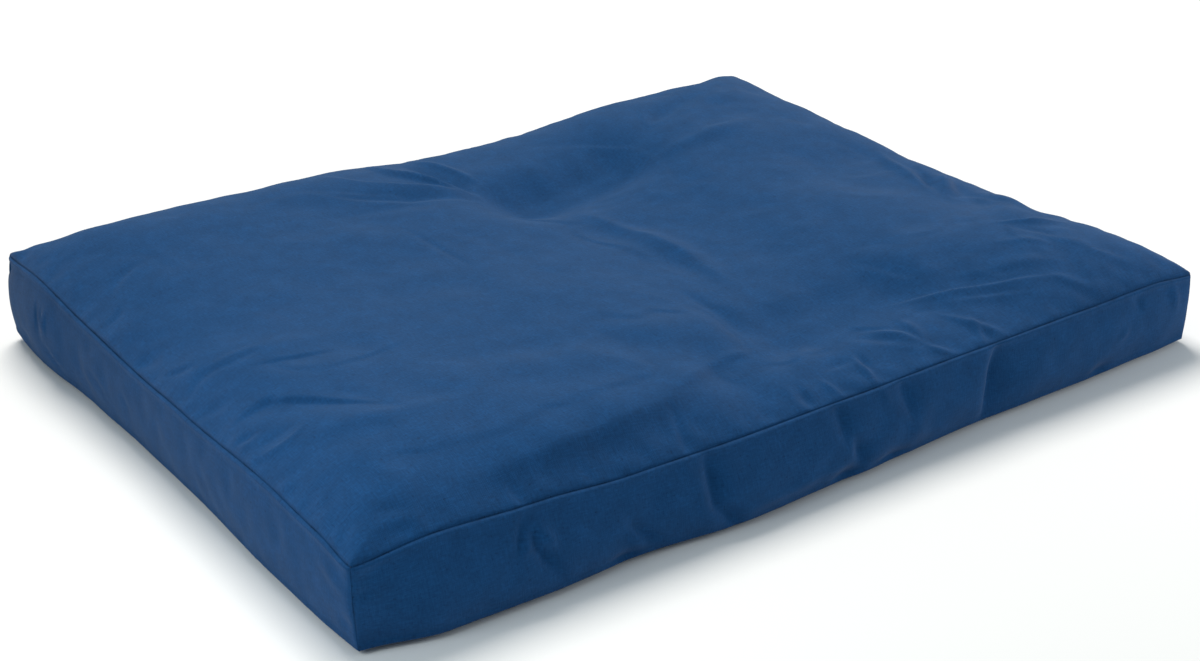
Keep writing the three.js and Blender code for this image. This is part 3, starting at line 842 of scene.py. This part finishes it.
def make_cover():
    """The cushion's cover, as a piece in metres, with its cloth coordinates and the painted shade of its
    seams.
    """
    lines = Lines(
        x=spaced_lines(LENGTH, STRETCHES_X),
        y=spaced_lines(WIDTH, STRETCHES_Y),
        gusset=spaced_lines(GUSSET_HEIGHT, STRETCHES_GUSSET),
    )
    top, strip = cover_form(lines)
    top_slack, strip_slack = slack(lines)
    top, strip = top + top_slack, strip + strip_slack
    cover = rounded(closed_cover(sew_top(lines, top), sew_gusset(lines, strip)))
    top_faces, fan = panel_triangles(cover.panel, lines), base_fan(cover)
    faces = top_faces.tolist() + ring_quads(cover.rings).tolist() + fan.tolist()
    piece = make_piece("cushion_cover", cover.points, faces)
    layer = piece.data.uv_layers.new(name="cloth")
    coordinates = cloth_coordinates(lines, cover, top_faces, fan)
    layer.data.foreach_set("uv", coordinates.astype(np.float32).ravel())
    # The seam attribute carries the painted shade along the seams and corners
    painted_shade = piece.data.attributes.new("seam", "FLOAT", "POINT")
    painted_shade.data.foreach_set("value", painted_seam_shade(lines, cover).astype(np.float32))
    return piece


def make_piece(name, points, faces):
    """A smooth mesh object in metres, from points in millimetres."""
    mesh = bpy.data.meshes.new(name)
    mesh.from_pydata((points * MM).tolist(), [], faces)
    mesh.polygons.foreach_set("use_smooth", np.ones(len(faces), bool))
    mesh.update()
    piece = bpy.data.objects.new(name, mesh)
    bpy.context.scene.collection.objects.link(piece)
    return piece


def canvas_material():
    """Plain woven cotton canvas: threads over and under each other, slubs, specks and uneven dye, and painted
    shade along the seams.
    """
    material = bpy.data.materials.new("canvas")
    material.use_nodes = True
    tree = material.node_tree
    nodes = tree.nodes
    shader = nodes["Principled BSDF"]
    for socket, value in CANVAS_SURFACE.items():
        shader.inputs[socket].default_value = value
    cloth = nodes.new("ShaderNodeUVMap")
    cloth.uv_map = "cloth"

    def math_node(operation, first, second=None, third=None):
        node = nodes.new("ShaderNodeMath")
        node.operation = operation
        for socket, value in zip(node.inputs, (first, second, third)):
            if isinstance(value, (int, float)):
                socket.default_value = value
            elif value is not None:
                tree.links.new(value, socket)
        return node.outputs[0]

    def noise(kind):
        """Noise between 0 and 1 over the cloth."""
        mapping = nodes.new("ShaderNodeMapping")
        mapping.inputs["Scale"].default_value = (kind.across, kind.along, 1)
        texture = nodes.new("ShaderNodeTexNoise")
        texture.noise_dimensions = "2D"
        texture.inputs["Scale"].default_value = 1
        texture.inputs["Detail"].default_value = kind.detail
        tree.links.new(cloth.outputs["UV"], mapping.inputs["Vector"])
        tree.links.new(mapping.outputs["Vector"], texture.inputs["Vector"])
        return texture.outputs["Fac"]

    def ramp(value, stops):
        node = nodes.new("ShaderNodeValToRGB")
        elements = node.color_ramp.elements
        while len(elements) < len(stops):
            elements.new(0.5)
        for element, (place, colour) in zip(elements, stops):
            element.position = place
            element.color = (*colour, 1)
        tree.links.new(value, node.inputs["Fac"])
        return node.outputs["Color"]

    # Warp and weft cross: over at one crossing, under at the next
    split = nodes.new("ShaderNodeSeparateXYZ")
    tree.links.new(cloth.outputs["UV"], split.inputs["Vector"])
    turns = math.pi / THREAD_PITCH
    warp = math_node("SINE", math_node("MULTIPLY", split.outputs["X"], turns))
    weft = math_node("SINE", math_node("MULTIPLY", split.outputs["Y"], turns))
    crossings = math_node("MULTIPLY", warp, weft)

    # Thick and thin places of single threads, patches of dye, and dark specks of seed husk
    slubs = math_node("ADD", noise(WARP_SLUBS), noise(WEFT_SLUBS))
    specks = math_node("GREATER_THAN", noise(SPECKS), SPECK_LEVEL)
    # Painted shade: the seam attribute darkens the yarn's colour in the folds of the seams
    seam = nodes.new("ShaderNodeAttribute")
    seam.attribute_name = "seam"
    tone = math_node("MULTIPLY", noise(GRAIN), GRAIN_TONE)
    tone = math_node("MULTIPLY_ADD", noise(DYE), DYE_TONE, tone)
    tone = math_node("MULTIPLY_ADD", slubs, SLUB_TONE, tone)
    tone = math_node("MULTIPLY_ADD", crossings, CROSSING_TONE, tone)
    tone = math_node("MULTIPLY_ADD", specks, SPECK_TONE, tone)
    tone = math_node("MULTIPLY_ADD", seam.outputs["Fac"], SEAM_PAINTED_SHADE, tone)
    stops = [(place, [share * channel for channel in NAVY]) for place, share in TONE_SHARES]
    tree.links.new(ramp(tone, stops), shader.inputs["Base Color"])

    bump = nodes.new("ShaderNodeBump")
    bump.inputs["Strength"].default_value = BUMP_STRENGTH
    bump.inputs["Distance"].default_value = BUMP_HEIGHT
    tree.links.new(math_node("MULTIPLY_ADD", crossings, CROSSING_BUMP, slubs), bump.inputs["Height"])
    tree.links.new(bump.outputs["Normal"], shader.inputs["Normal"])
    return material


def floor_material():
    """A pale matt floor."""
    material = bpy.data.materials.new("pale_floor")
    material.use_nodes = True
    shader = material.node_tree.nodes["Principled BSDF"]
    shader.inputs["Base Color"].default_value = FLOOR_COLOUR
    shader.inputs["Roughness"].default_value = FLOOR_ROUGHNESS
    return material


def make_floor():
    """The floor that the cushion lies on, which is no part of it."""
    mesh = bpy.data.meshes.new("floor")
    half = FLOOR_SIZE / 2
    points = [(-half, -half, 0), (half, -half, 0), (half, half, 0), (-half, half, 0)]
    mesh.from_pydata(points, [], [(0, 1, 2, 3)])
    floor = bpy.data.objects.new("floor", mesh)
    floor.data.materials.append(floor_material())
    bpy.context.scene.collection.objects.link(floor)


def make_camera(shift):
    """The camera at the photograph's place, moved along with the cushion."""
    heading, pitch, roll = (math.radians(angle) for angle in (HEADING, PITCH, ROLL))
    level = math.cos(pitch)
    ahead = Vector((math.sin(heading) * level, math.cos(heading) * level, -math.sin(pitch)))
    level_right = ahead.cross(Vector((0, 0, 1))).normalized()
    level_down = ahead.cross(level_right)
    right = level_right * math.cos(roll) + level_down * math.sin(roll)
    down = level_down * math.cos(roll) - level_right * math.sin(roll)
    data = bpy.data.cameras.new("camera")
    data.sensor_width = SENSOR_WIDTH
    data.lens = FOCAL_PIXELS / IMAGE_WIDTH * data.sensor_width
    camera = bpy.data.objects.new("camera", data)
    axes = Matrix((right, -down, -ahead)).transposed()
    camera.matrix_world = Matrix.Translation(CAMERA_PLACE + shift) @ axes.to_4x4()
    bpy.context.scene.collection.objects.link(camera)
    bpy.context.scene.camera = camera


def make_soft_box(box):
    """A square area light at its place, turned to its aim."""
    data = bpy.data.lights.new(box.name, "AREA")
    data.shape = "SQUARE"
    data.size = box.size
    data.energy = box.power
    data.color = box.colour
    lamp = bpy.data.objects.new(box.name, data)
    lamp.location = box.place
    lamp.rotation_mode = "QUATERNION"
    lamp.rotation_quaternion = (Vector(box.aim) - Vector(box.place)).to_track_quat("-Z", "Y")
    bpy.context.scene.collection.objects.link(lamp)


def make_light():
    """An even sky and the soft boxes."""
    scene = bpy.context.scene
    scene.view_settings.view_transform = "Standard"
    world = bpy.data.worlds.new("studio")
    world.use_nodes = True
    background = world.node_tree.nodes["Background"]
    background.inputs["Color"].default_value = SKY_COLOUR
    background.inputs["Strength"].default_value = SKY_STRENGTH
    scene.world = world
    for box in SOFT_BOXES:
        make_soft_box(box)


# The cover is centred over the CAD solid, and the camera moves along with it
cushion = make_cover()
corners = np.array([corner[:] for corner in cushion.bound_box])
centre = (corners.min(0) + corners.max(0)) / 2
cad_centre = (cad_low + cad_high) / 2
shift = Vector((cad_centre.x - centre[0], cad_centre.y - centre[1], 0))
cushion.data.transform(Matrix.Translation(shift))
cushion.data.materials.append(canvas_material())
make_floor()
make_camera(shift)
make_light()

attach(cushion, "root")
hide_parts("cushion")
